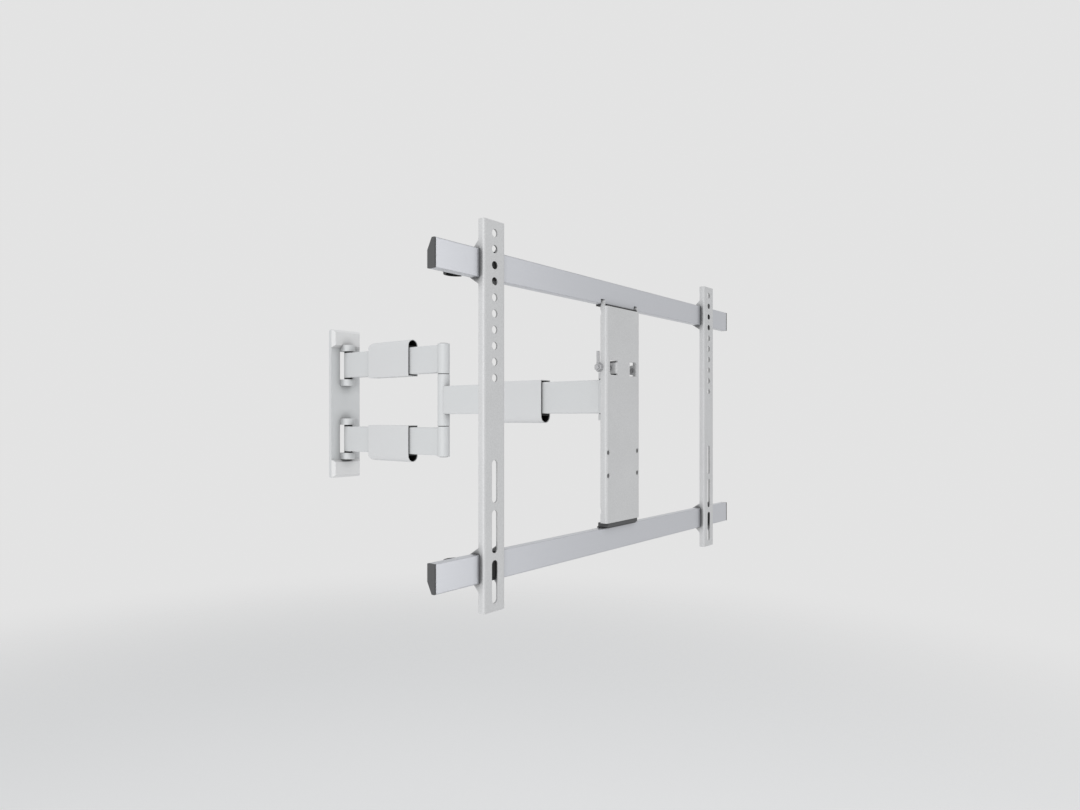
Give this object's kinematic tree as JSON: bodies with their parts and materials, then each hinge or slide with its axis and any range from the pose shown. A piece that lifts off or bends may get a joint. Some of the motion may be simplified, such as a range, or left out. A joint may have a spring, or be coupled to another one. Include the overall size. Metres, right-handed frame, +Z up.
{
  "type": "swivel tv wall mount",
  "caption": "Full-motion wall mount: paired rear arms, a front arm and a tilting, panning head with two rails and sliding slotted brackets for a flat screen.",
  "frame": {"origin": "on the wall face of the wall plate, midway between the two rear arms", "axes": "+X along the wall and along the rails, -Y out of the wall towards the screen, +Z up"},
  "size_m": [0.7054, 0.642, 0.435],
  "materials": {
    "painted": "fine satin powder coat",
    "cap_plastic": "satin moulded plastic",
    "cover_plastic": "satin moulded plastic",
    "black_plastic": "matte",
    "dark_plastic": "matte",
    "steel": "zinc plated",
    "silver_paint": "fine silver powder coat",
    "anodised": "satin anodised",
    "black_steel": "black powder coat"
  },
  "bodies": {
    "wall": {"wall_plate": "painted", "wall_cap_top": "cap_plastic", "wall_cap_bottom": "cap_plastic", "wall_pins": "steel"},
    "rear_arms": {"wall_bushes": "black_plastic", "upper_arm_tube": "painted", "lower_arm_tube": "painted", "upper_wall_end": "painted", "lower_wall_end": "painted", "upper_elbow_end": "painted", "lower_elbow_end": "painted", "elbow_bolt": "steel", "elbow_nut": "steel", "elbow_plugs": "dark_plastic", "upper_cover": "cover_plastic", "lower_cover": "cover_plastic", "upper_liner": "black_plastic", "lower_liner": "black_plastic"},
    "front_arm": {"elbow_sleeve": "painted", "elbow_bushes": "black_plastic", "front_arm_tube": "painted", "front_head_end": "painted", "pan_bushes": "black_plastic", "front_cover": "cover_plastic", "front_liner": "black_plastic"},
    "swivel": {"swivel_block": "silver_paint", "pan_bolt": "steel", "pan_nut": "steel"},
    "head": {"head_plate": "silver_paint", "tilt_axle": "steel", "tilt_nut": "steel", "tab_washer": "steel", "head_rivets": "black_steel", "rail_jaw_top": "black_steel", "rail_jaw_bottom": "black_steel", "jaw_pad": "dark_plastic", "rail_screws": "steel", "rail_top": "anodised", "rail_bottom": "anodised", "rail_end_caps": "dark_plastic", "cable_clips": "black_plastic"},
    "left_bracket": {"bracket_left": "silver_paint", "glide_pads_left": "black_plastic"},
    "right_bracket": {"bracket_right": "silver_paint", "glide_pads_right": "black_plastic"}
  },
  "joints": [
    {"name": "wall_swing", "type": "hinge", "parent": "wall", "child": "rear_arms", "pos_m": [0, -0.0155, 0], "axis": [0, 0, 1], "range_deg": [-90, 90]},
    {"name": "elbow_swing", "type": "hinge", "parent": "rear_arms", "child": "front_arm", "pos_m": [0, -0.2806, 0], "axis": [0, 0, -1], "range_deg": [-165, 165]},
    {"name": "head_pan", "type": "hinge", "parent": "front_arm", "child": "swivel", "pos_m": [0, -0.612, 0], "axis": [0, 0, 1], "range_deg": [-88, 88]},
    {"name": "head_tilt", "type": "hinge", "parent": "swivel", "child": "head", "pos_m": [0, -0.6305, 0.0387], "axis": [1, 0, 0], "range_deg": [-8, 9]},
    {"name": "left_bracket_slide", "type": "slide", "parent": "head", "child": "left_bracket", "axis": [1, 0, 0], "range_m": [-0.0015, 0.1675]},
    {"name": "right_bracket_slide", "type": "slide", "parent": "head", "child": "right_bracket", "axis": [1, 0, 0], "range_m": [-0.1675, 0.0325]}
  ]
}
